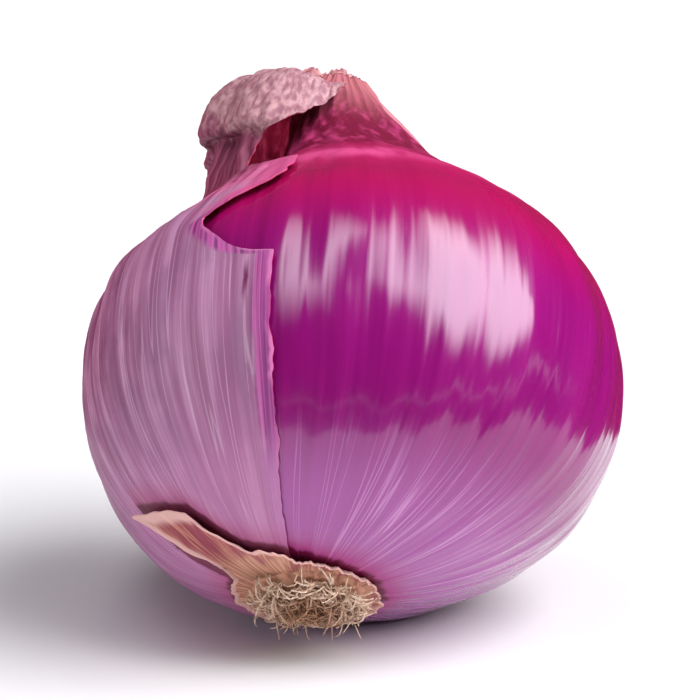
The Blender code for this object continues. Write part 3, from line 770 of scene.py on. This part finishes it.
def make_collar():
    obj, u, v = grid_sheet("papery_root_collar", 640, 34)
    leaves = turn_of(math.tau * u)
    ends, end_lat, end_lift = (np.interp(leaves, COLLAR_EDGE[0], row) for row in COLLAR_EDGE[1:])
    end_lat = np.maximum(end_lat + collar_rag(math.tau * u), COLLAR_START_LAT + 2.4)
    angle = around(leaves + (ends - leaves) * v)
    lat = COLLAR_START_LAT + (end_lat - COLLAR_START_LAT) * v
    back = COLLAR_EDGE[1:3, FLAP_BACK][:, ::-1]
    from_back = np.abs(np.interp(lat, back[1], back[0]) - turn_of(angle))
    rim = np.maximum(v, np.where(lat > back[1, 0], 1.0 - from_back / RIM_REACH, 0.0))
    fine = 0.3 * MM * v * noise_at(9.0 * np.cos(angle), 9.0 * np.sin(angle), lat / 5.0)
    rise = end_lift * MM - SKIN_GAP - RIM_CURL
    lift = SKIN_GAP + rise * v**0.7 + RIM_CURL * ease((rim - 0.84) / 0.16) + fine
    placed = skin_point(angle, lat, lift)
    move_points(obj.data, lay_down(placed, COLLAR_PAPER))
    remember(obj.data, "skin_place", skin_place(angle, lat))
    remember(obj.data, "out", rim)
    bpy.ops.object.mode_set(mode="EDIT")
    bpy.ops.mesh.select_all(action="SELECT")
    bpy.ops.mesh.remove_doubles(threshold=0.001 * MM)
    bpy.ops.object.mode_set(mode="OBJECT")
    turn_faces_out(obj, CENTRE)
    thicken(obj, COLLAR_PAPER)
    bpy.ops.object.shade_smooth_by_angle(angle=math.radians(50.0))
    return obj


collar = make_collar()
print("collar:", len(collar.data.polygons), "faces")

# %% [markdown]
# ## Root plate and roots
# The plate is the onion's short, corky stem, and the roots are thin, dry and curly. A root is a curve
# with a round bevel that tapers by the radius of its points. All of them are splines of one curve,
# and turning that curve into a mesh makes the whole mat at once.

# %% The plate
PLATE_SEAT = float(meridian(ROOT_LAT)[1]) + 0.5 * MM - SKIN_GAP
PLATE_DEPTH = 2.4 * MM


def plate_surface(radius):
    """The height of the plate's underside at a distance from the axis."""
    return PLATE_SEAT - PLATE_DEPTH * np.sqrt(np.maximum(1.0 - (radius / PLATE_RADIUS) ** 2, 0.0)) ** 0.8


def make_plate():
    deselect_all()
    bpy.ops.mesh.primitive_uv_sphere_add(segments=120, ring_count=60, radius=1.0)
    obj = bpy.context.object
    obj.name = "corky_root_plate"
    points = points_of(obj.data)
    points[:, :2] *= PLATE_RADIUS * 0.95
    below = points[:, 2] < 0.0
    points[:, 2] = PLATE_SEAT + np.where(below, points[:, 2] * PLATE_DEPTH, points[:, 2] * 0.3 * MM)
    pits = noise_at(points[:, 0] / MM * 1.1, points[:, 1] / MM * 1.1, points[:, 2] / MM * 1.1)
    points[:, 2] += np.where(below, 0.5 * MM * pits, 0.0)
    remember(obj.data, "out", np.hypot(points[:, 0], points[:, 1]) / PLATE_RADIUS)
    move_points(obj.data, lay_down(points, 0.1 * MM))
    bpy.ops.object.shade_smooth()
    return obj


plate = make_plate()

# %% The roots
ROOT_COUNT = 460
ROOT_POINTS = 10
ROOT_RING = 5.6 * MM
ROOT_RADII = (0.09 * MM, 0.19 * MM)
ROOT_LENGTHS = (2.2 * MM, 5.2 * MM)
ROOT_SEED = 11


def root_path(draw):
    """One curly root on the upright onion, out of the plate, that never turns back into it."""
    reach = math.sqrt(draw.random())
    angle = draw.uniform(0.0, math.tau)
    foot = reach * ROOT_RING
    outward = Vector((math.cos(angle), math.sin(angle), 0.0))
    point = outward * foot + Vector((0.0, 0.0, float(plate_surface(foot)) + 0.4 * MM))
    spread = math.radians(5.0 + 35.0 * reach + draw.uniform(-25.0, 25.0))
    heading = outward * math.sin(spread) + Vector((0.0, 0.0, -math.cos(spread)))
    length = draw.uniform(*ROOT_LENGTHS) * (1.0 - 0.4 * max(0.0, math.sin(angle)))
    axis = heading.cross(Vector((draw.uniform(-1, 1), draw.uniform(-1, 1), draw.uniform(-1, 1)))).normalized()
    curl = draw.uniform(0.15, 0.7)
    path = [point]
    for _ in range(ROOT_POINTS - 1):
        path.append(path[-1] + heading * length / (ROOT_POINTS - 1))
        turn = Matrix.Rotation(curl + draw.uniform(-0.3, 0.3), 3, axis)
        heading = turn @ heading
        level = float(plate_surface(math.hypot(path[-1].x, path[-1].y)))
        if path[-1].z > level - 0.3 * MM:
            heading.z = -abs(heading.z)
    return path


def make_roots():
    draw = random.Random(ROOT_SEED)
    curve = bpy.data.curves.new("curly_roots", "CURVE")
    curve.dimensions = "3D"
    curve.bevel_depth = 1.0 * MM
    curve.bevel_resolution = 1
    curve.use_fill_caps = True
    for _ in range(ROOT_COUNT):
        path = np.array([tuple(p) for p in root_path(draw)])
        thick = draw.uniform(*ROOT_RADII)
        spline = curve.splines.new("POLY")
        spline.points.add(len(path) - 1)
        for i, (point, place) in enumerate(zip(spline.points, lay_down(path, 0.35 * MM))):
            point.co = (*place, 1.0)
            point.radius = thick * (1.0 - 0.6 * i / len(path)) / MM
    obj = bpy.data.objects.new("curly_roots", curve)
    bpy.context.scene.collection.objects.link(obj)
    deselect_all()
    obj.select_set(True)
    bpy.context.view_layer.objects.active = obj
    bpy.ops.object.convert(target="MESH")
    obj = bpy.context.object
    upright = (points_of(obj.data) - PLACE) @ LEAN
    remember(obj.data, "out", np.hypot(upright[:, 0], upright[:, 1]) / PLATE_RADIUS)
    bpy.ops.object.shade_smooth()
    return obj


roots = make_roots()
print("roots:", ROOT_COUNT, "of them,", len(roots.data.polygons), "faces")

# %% [markdown]
# ## The dried tips in the neck
# Inside the neck the youngest leaves have dried and broken off in two blunt, crumpled lumps. Each
# leaf end is a narrow cupped grid that rolls in at its top, and they stand with their backs out.

# %% Neck tips
TIP_PAPER = 0.3 * MM
TIP_FOOT = NECK_TOP - 2.7 * MM
TIP_CUP = 0.8 * MM
TIP_ROLL = 0.9 * MM
# Where each leaf end stands, x and y in millimetres, the turn it faces, and its height and width
TIPS = (
    (-3.6, -0.9, 15, 4.9, 3.2),
    (-3.7, 1.0, 165, 4.9, 3.0),
    (-4.3, 0.1, 90, 4.7, 2.6),
    (-1.7, -1.8, 5, 3.7, 2.6),
    (-1.5, 1.8, 175, 3.9, 2.6),
    (0.2, -1.2, -10, 4.7, 3.2),
    (0.6, 1.3, -170, 4.9, 3.2),
    (1.7, 0.1, -85, 4.5, 2.8),
    (-0.8, 0.2, 80, 4.3, 2.4),
)


def make_tips():
    leaf_ends = []
    for i, (x, y, turn, tall, wide) in enumerate(TIPS):
        obj, u, v = grid_sheet(f"tip_{i}", 18, 24)
        off = 2.0 * u - 1.0
        crumple = 0.45 * noise_at(u * 3.0, v * 3.5, 7.0 * i) + 0.2 * noise_at(u * 8.0, v * 7.0, 7.0 * i)
        torn = 0.22 * np.abs(noise_at(u * 6.0, 0.5, 3.0 * i))
        bulge = TIP_CUP * (1.0 - off**2) - TIP_ROLL * ease((v - 0.6) / 0.4) + crumple * MM
        across = wide * MM * (0.75 + 0.25 * v) * off / 2.0
        level = TIP_FOOT + tall * MM * v * (1.0 - 0.12 * off**2 - torn)
        facing = around(turn)
        out = np.array((math.cos(facing), math.sin(facing)))
        flat = np.array((x, y)) * MM + out * bulge[:, None] + np.array((-out[1], out[0])) * across[:, None]
        move_points(obj.data, lay_down(np.column_stack((flat, level))))
        turn_faces_out(obj, lay_down(np.array((x * MM, y * MM, TIP_FOOT)) - 3.0 * MM * np.array((*out, 0.0))))
        thicken(obj, TIP_PAPER)
        leaf_ends.append(obj)
    deselect_all()
    for leaf_end in leaf_ends:
        leaf_end.select_set(True)
    bpy.context.view_layer.objects.active = leaf_ends[0]
    bpy.ops.object.join()
    obj = bpy.context.object
    obj.name = "withered_neck_tips"
    bpy.ops.object.shade_smooth_by_angle(angle=math.radians(60.0))
    return obj


tips = make_tips()
print("neck tips:", len(tips.data.polygons), "faces")

# %% [markdown]
# ## Tools for the finishes
# All the finishes below are built from the same few steps: a value that the mesh remembers for each
# point, noise that is stretched so that its grain runs one way, a smooth step that says where
# something begins, and a mix of two colours.

# %% Helpers for materials
def start_material(name):
    material = bpy.data.materials.new(name)
    material.use_nodes = True
    tree = material.node_tree
    return material, tree, tree.nodes["Principled BSDF"]


def recall(tree, name, output="Fac"):
    """What the mesh remembers at each point under a name."""
    return add_node(tree, "ShaderNodeAttribute", attribute_name=name).outputs[output]


def grain(tree, vector, stretch, detail=2.0):
    """Noise whose grain is finer along the axes with the larger stretch."""
    stretched = add_node(tree, "ShaderNodeVectorMath", {0: vector, 1: stretch}, operation="MULTIPLY")
    inputs = {"Vector": stretched.outputs[0], "Scale": 1.0, "Detail": detail}
    return add_node(tree, "ShaderNodeTexNoise", inputs).outputs[0]


def step(tree, value, start, end, low=0.0, high=1.0):
    """A smooth step: low up to the start and high from the end on."""
    limits = {0: value, 1: start, 2: end, 3: low, 4: high}
    return add_node(tree, "ShaderNodeMapRange", limits, interpolation_type="SMOOTHSTEP").outputs[0]


def sums(tree, operation, first, second):
    return add_node(tree, "ShaderNodeMath", {0: first, 1: second}, operation=operation).outputs[0]


def thin_lines(tree, vector, stretch, width):
    """Thin lines, drawn where noise passes through its middle value."""
    middle = sums(tree, "SUBTRACT", grain(tree, vector, stretch, 1.0), 0.5)
    away = add_node(tree, "ShaderNodeMath", {0: middle}, operation="ABSOLUTE").outputs[0]
    return step(tree, away, width, 0.0)


def mix_colour(tree, share, first, second):
    """A colour on the way from the first to the second, each a hex colour or an output."""
    ends = [to_linear(colour) if isinstance(colour, str) else colour for colour in (first, second)]
    inputs = {0: share, 6: ends[0], 7: ends[1]}
    return add_node(tree, "ShaderNodeMix", inputs, data_type="RGBA").outputs[2]


def colour_and_bump(tree, shader, colour, height, distance, strength):
    """Gives the shader its colour and a bump of a height."""
    tree.links.new(colour, shader.inputs["Base Color"])
    bump = add_node(tree, "ShaderNodeBump", {"Height": height, "Strength": strength, "Distance": distance})
    tree.links.new(bump.outputs[0], shader.inputs["Normal"])


def collar_stain_and_shadow(tree, colour, strength):
    """Darkens a colour to crimson along the collar's edge: the skin's own crimson there, with painted shadow
    under the lifted collar.
    """
    above = recall(tree, "above_collar")
    wide = sums(tree, "MULTIPLY", step(tree, above, 10.0, 0.0), 0.65 * strength)
    narrow = sums(tree, "MULTIPLY", step(tree, above, 1.9, 0.5), strength)
    return mix_colour(tree, narrow, mix_colour(tree, wide, colour, "#a83068"), "#5c0626")


# %% [markdown]
# ## Glossy skin
# The living skin of a red onion is thin, waxy and full of magenta dye. The wax is the clear coat: it
# gives the sharp pale reflections. The dye is deepest in the middle, redder towards the neck and thin
# near the root, where the white scale under it turns it mauve. Streaks follow the meridians, because
# the cells grew in files from root to neck. On the neck the skin has died: no wax, pale wrinkles,
# with painted shade in their valleys and a painted highlight down its right side.

# %% Glossy skin material
def glossy_skin():
    material, tree, shader = start_material("waxy_magenta_onion_skin")
    place = recall(tree, "skin_place", "Vector")
    parts = add_node(tree, "ShaderNodeSeparateXYZ", {0: place})
    across, lat = parts.outputs["X"], parts.outputs["Z"]
    streak = grain(tree, place, (16.0, 16.0, 1.6), 4.0)
    fine_streak = grain(tree, place, (44.0, 44.0, 1.0), 1.0)
    rootward = step(tree, lat, -0.34, -0.66)

    colour = mix_colour(tree, streak, "#6f0558", "#930a72")
    colour = mix_colour(tree, step(tree, lat, 0.0, 0.36), colour, "#a20a4e")
    colour = mix_colour(tree, sums(tree, "MULTIPLY", rootward, 0.55), colour, "#b660b4")
    vein = thin_lines(tree, place, (18.0, 18.0, 0.8), 0.03)
    vein = sums(tree, "MULTIPLY", vein, sums(tree, "MULTIPLY", rootward, 0.55))
    colour = mix_colour(tree, vein, colour, "#d596cd")

    # A paler pink band along the top of the shoulder, weaker on the right: the skin's paler neck foot, with a
    # painted rim highlight.
    crest_pink_and_sheen = sums(tree, "MULTIPLY", step(tree, lat, 0.45, 0.54), step(tree, lat, 0.68, 0.60))
    crest_pink_and_sheen = sums(tree, "MULTIPLY", crest_pink_and_sheen, step(tree, grain(tree, place, (7.0, 7.0, 6.0), 3.0), 0.3, 0.6))
    crest_pink_and_sheen = sums(tree, "MULTIPLY", crest_pink_and_sheen, step(tree, across, 0.55, 0.0, 0.3, 1.0))
    colour = mix_colour(tree, crest_pink_and_sheen, colour, "#cc4680")

    dry = step(tree, lat, 0.60, 0.74)
    wrinkle = grain(tree, place, (9.0, 9.0, 34.0), 4.0)
    # The crease values lighten the neck's ridges and darken its valleys: painted shade in the creases.
    crumple = sums(tree, "ADD", wrinkle, sums(tree, "MULTIPLY", recall(tree, "fold"), 0.10))
    neck = mix_colour(tree, step(tree, crumple, 0.40, 0.74), "#6c062e", "#ac3468")
    neck = mix_colour(tree, step(tree, lat, 0.80, 0.98), neck, "#b0666e")
    # Paler down the neck's right side, towards the key light: painted highlight.
    neck = mix_colour(tree, step(tree, across, 0.80, 0.99, 0.0, 0.8), neck, "#c0808c")
    colour = mix_colour(tree, dry, colour, neck)
    colour = collar_stain_and_shadow(tree, colour, 0.9)

    body_height = sums(tree, "ADD", streak, sums(tree, "MULTIPLY", fine_streak, 0.16))
    body_height = sums(tree, "MULTIPLY", body_height, step(tree, lat, -0.75, -0.35, 0.1, 1.0))
    height = add_node(tree, "ShaderNodeMix", {0: dry, 2: body_height, 3: wrinkle}, data_type="FLOAT")
    colour_and_bump(tree, shader, colour, height.outputs[0], 0.25 * MM, 0.35)

    rough = step(tree, streak, 0.3, 0.7, 0.17, 0.28)
    dulled = step(tree, lat, 0.36, 0.48)
    rough = add_node(tree, "ShaderNodeMix", {0: dulled, 2: rough, 3: 0.6}, data_type="FLOAT")
    tree.links.new(rough.outputs[0], shader.inputs["Roughness"])
    waxy = sums(tree, "MULTIPLY", step(tree, lat, 0.52, 0.38), step(tree, recall(tree, "above_collar"), 1.0, 7.0))
    tree.links.new(sums(tree, "MULTIPLY", waxy, 0.95), shader.inputs["Coat Weight"])
    shader.inputs["Specular IOR Level"].default_value = 0.25
    shader.inputs["Coat Roughness"].default_value = 0.14
    shader.inputs["IOR"].default_value = 1.5
    return material


bulb.data.materials.append(glossy_skin())

# %% [markdown]
# ## Dry skin
# Dead onion skin is a paper of flattened cells. It is translucent and dull, so the magenta of the
# bulb shows through it greyed, and its veins are paler lines. Beside the tear it lies closer on the
# bulb and is pinker. Up its own neck it goes through pink and a maroon band, darkened by painted shade
# under its overhanging fold, to a pale, crumpled buff.

# %% Dry skin material
def dry_paper():
    material, tree, shader = start_material("dry_mauve_onion_paper")
    place = recall(tree, "skin_place", "Vector")
    parts = add_node(tree, "ShaderNodeSeparateXYZ", {0: place})
    across, lat = parts.outputs["X"], parts.outputs["Z"]
    line = grain(tree, place, (20.0, 20.0, 1.3), 5.0)
    crumple = grain(tree, place, (20.0, 20.0, 50.0), 4.0)
    stripes = step(tree, line, 0.34, 0.66)
    blotches = step(tree, grain(tree, place, (3.5, 3.5, 4.0), 3.0), 0.45, 0.7, 0.0, 0.6)

    colour = mix_colour(tree, stripes, "#94587f", "#c08cb0")
    colour = mix_colour(tree, blotches, colour, "#86567c")
    colour = mix_colour(tree, step(tree, lat, -0.2, -0.6, 0.0, 0.55), colour, "#c47cae")
    # Darker in patches towards the far left flank, most in its upper part: painted shade.
    left_shade_mask = sums(tree, "MULTIPLY", step(tree, across, -0.70, -0.97), step(tree, lat, -0.35, 0.1, 0.2, 0.75))
    painted_left_shade = sums(tree, "MULTIPLY", left_shade_mask, step(tree, grain(tree, place, (9.0, 9.0, 6.0), 4.0), 0.38, 0.62))
    colour = mix_colour(tree, painted_left_shade, colour, "#643056")
    vein = sums(tree, "MULTIPLY", thin_lines(tree, place, (24.0, 24.0, 0.9), 0.03), 0.4)
    colour = mix_colour(tree, vein, colour, "#dcb4cc")

    edge = recall(tree, "from_edge")
    upper = step(tree, lat, -0.62, -0.38)
    fibre = step(tree, grain(tree, place, (60.0, 60.0, 1.2), 2.0), 0.36, 0.64)
    band = mix_colour(tree, fibre, "#7c2070", "#c85aa6")
    band = mix_colour(tree, upper, "#a860a0", band)
    beside = step(tree, edge, 5.6, 2.8, 0.0, 0.9)
    beside = sums(tree, "MULTIPLY", beside, step(tree, lat, -0.62, -0.38, 0.45, 1.0))
    colour = mix_colour(tree, beside, colour, band)
    # A bright pink line along the very edge of the torn skin, in patches: painted highlight on the curled edge.
    frayed = step(tree, grain(tree, place, (8.0, 8.0, 5.0), 2.0), 0.4, 0.6)
    rim = sums(tree, "MULTIPLY", sums(tree, "MULTIPLY", frayed, upper), step(tree, edge, 1.3, 0.3))
    colour = mix_colour(tree, rim, colour, "#d878b4")
    # A thin dark line a little in from the torn edge, whole near the top and in dashes lower down: painted shadow
    # of a slit in the skin.
    painted_slit_shadow = sums(tree, "MULTIPLY", step(tree, edge, 5.2, 5.8), step(tree, edge, 7.0, 6.3))
    slit_shadow_dashes = step(tree, grain(tree, place, (6.0, 6.0, 14.0), 2.0), 0.44, 0.56, 0.0, 0.6)
    slit_shadow_dashes = sums(tree, "MULTIPLY", slit_shadow_dashes, step(tree, lat, -0.36, -0.26))
    whole = step(tree, lat, -0.11, -0.02)
    painted_slit_shadow = sums(tree, "MULTIPLY", painted_slit_shadow, sums(tree, "MAXIMUM", slit_shadow_dashes, whole))
    painted_slit_shadow = sums(tree, "MULTIPLY", painted_slit_shadow, step(tree, lat, 0.036, -0.02))
    colour = mix_colour(tree, painted_slit_shadow, colour, "#6c1c50")

    uneven = sums(tree, "ADD", lat, sums(tree, "MULTIPLY", crumple, 0.08))
    pink = mix_colour(tree, stripes, "#ac3c74", "#da7aa4")
    colour = mix_colour(tree, step(tree, uneven, 0.36, 0.50), colour, pink)
    # A brighter pink band near the front edge at the shoulder: painted sheen.
    painted_ridge_sheen = sums(tree, "MULTIPLY", step(tree, edge, 16.0, 4.0, 0.0, 0.9), step(tree, lat, 0.20, 0.30))
    colour = mix_colour(tree, painted_ridge_sheen, colour, "#d4568e")
    # A maroon band up the skin's neck, where it lies under the overhanging fold: the paper's own maroon, darkened
    # as painted shade.
    maroon_and_shade = mix_colour(tree, stripes, "#6c2440", "#9c5670")
    colour = mix_colour(tree, step(tree, uneven, 0.60, 0.66), colour, maroon_and_shade)
    buff = mix_colour(tree, step(tree, crumple, 0.36, 0.64), "#94606e", "#bc9094")
    higher = sums(tree, "SUBTRACT", uneven, step(tree, edge, 8.0, 60.0, 0.0, 0.09))
    colour = mix_colour(tree, step(tree, higher, 0.74, 0.79), colour, buff)
    colour = collar_stain_and_shadow(tree, colour, 0.8)
    colour = mix_colour(tree, recall(tree, "inside"), colour, "#b01044")

    height = sums(tree, "ADD", line, sums(tree, "MULTIPLY", crumple, step(tree, lat, 0.5, 0.8, 0.0, 1.6)))
    colour_and_bump(tree, shader, colour, height, 0.3 * MM, 0.35)
    shader.inputs["Roughness"].default_value = 0.5
    shader.inputs["IOR"].default_value = 1.45
    return material


dry_skin.data.materials.append(dry_paper())

# %% [markdown]
# ## Collar, roots and tips
# The oldest, outermost paper has lost its dye and gone tan, blushed with crimson, and palest on its
# curled rim. The roots are straw, coloured brown towards the middle of the plate and pale further
# out.

# %% Collar material
def collar_paper():
    material, tree, shader = start_material("old_tan_onion_paper")
    place = recall(tree, "skin_place", "Vector")
    lat = add_node(tree, "ShaderNodeSeparateXYZ", {0: place}).outputs["Z"]
    out = recall(tree, "out")
    fibres = grain(tree, place, (30.0, 30.0, 5.0), 4.0)
    blush = step(tree, grain(tree, place, (5.0, 5.0, 9.0), 3.0), 0.46, 0.62, 0.0, 0.7)
    colour = mix_colour(tree, step(tree, fibres, 0.35, 0.65), "#a06450", "#d6a084")
    flap = step(tree, lat, -0.80, -0.70)
    reddish = mix_colour(tree, step(tree, fibres, 0.38, 0.66), "#8c3044", "#cc8670")
    colour = mix_colour(tree, flap, colour, reddish)
    colour = mix_colour(tree, blush, colour, "#983850")
    colour = mix_colour(tree, step(tree, out, 0.3, 0.0, 0.0, 0.7), colour, "#7c5232")
    colour = mix_colour(tree, step(tree, out, 0.80, 0.93, 0.0, 0.85), colour, "#e8bab2")
    colour_and_bump(tree, shader, colour, fibres, 0.2 * MM, 0.5)
    shader.inputs["Roughness"].default_value = 0.6
    return material


# %% Materials of roots and tips
def straw(name, middle, rim, dark):
    """Old plant fibre that changes from the middle of the root plate to its rim."""
    material, tree, shader = start_material(name)
    coordinates = add_node(tree, "ShaderNodeTexCoord").outputs["Object"]
    fleck = grain(tree, coordinates, (1100.0, 1100.0, 1100.0), 3.0)
    colour = mix_colour(tree, step(tree, recall(tree, "out"), 0.25, 0.9), middle, rim)
    colour = mix_colour(tree, step(tree, fleck, 0.45, 0.66, 0.0, 0.7), colour, dark)
    colour_and_bump(tree, shader, colour, fleck, 0.2 * MM, 0.5)
    shader.inputs["Roughness"].default_value = 0.8
    return material


def withered_leaf():
    material, tree, shader = start_material("withered_leaf_ends")
    coordinates = add_node(tree, "ShaderNodeTexCoord").outputs["Object"]
    fleck = grain(tree, coordinates, (800.0, 800.0, 800.0), 4.0)
    colour = mix_colour(tree, step(tree, fleck, 0.38, 0.62), "#90485a", "#cc9490")
    colour_and_bump(tree, shader, colour, fleck, 0.25 * MM, 0.6)
    shader.inputs["Roughness"].default_value = 0.65
    return material


collar.data.materials.append(collar_paper())
plate.data.materials.append(straw("corky_root_stem", "#4a2818", "#cc967a", "#8a543e"))
roots.data.materials.append(straw("dry_straw_roots", "#b4886a", "#e6ccb4", "#86624a"))
tips.data.materials.append(withered_leaf())

# %% [markdown]
# ## Hand over
# Each piece rides on the onion's one body and takes the place of its solid, which is hidden.

# %% Hand over
PIECES = (
    (bulb, "bulb", "glossy_skin"),
    (dry_skin, "outer_skin", "dry_skin"),
    (collar, "root_collar", "papery_collar"),
    (plate, "root_tuft", "dry_roots"),
    (roots, "root_tuft", "dry_roots"),
    (tips, "neck_tips", "withered_tips"),
)
for piece, node, slot in PIECES:
    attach(piece, "root")
    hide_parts(node)

print("solids' box", [round(c / MM, 1) for corner in CAD_BOX for c in corner])
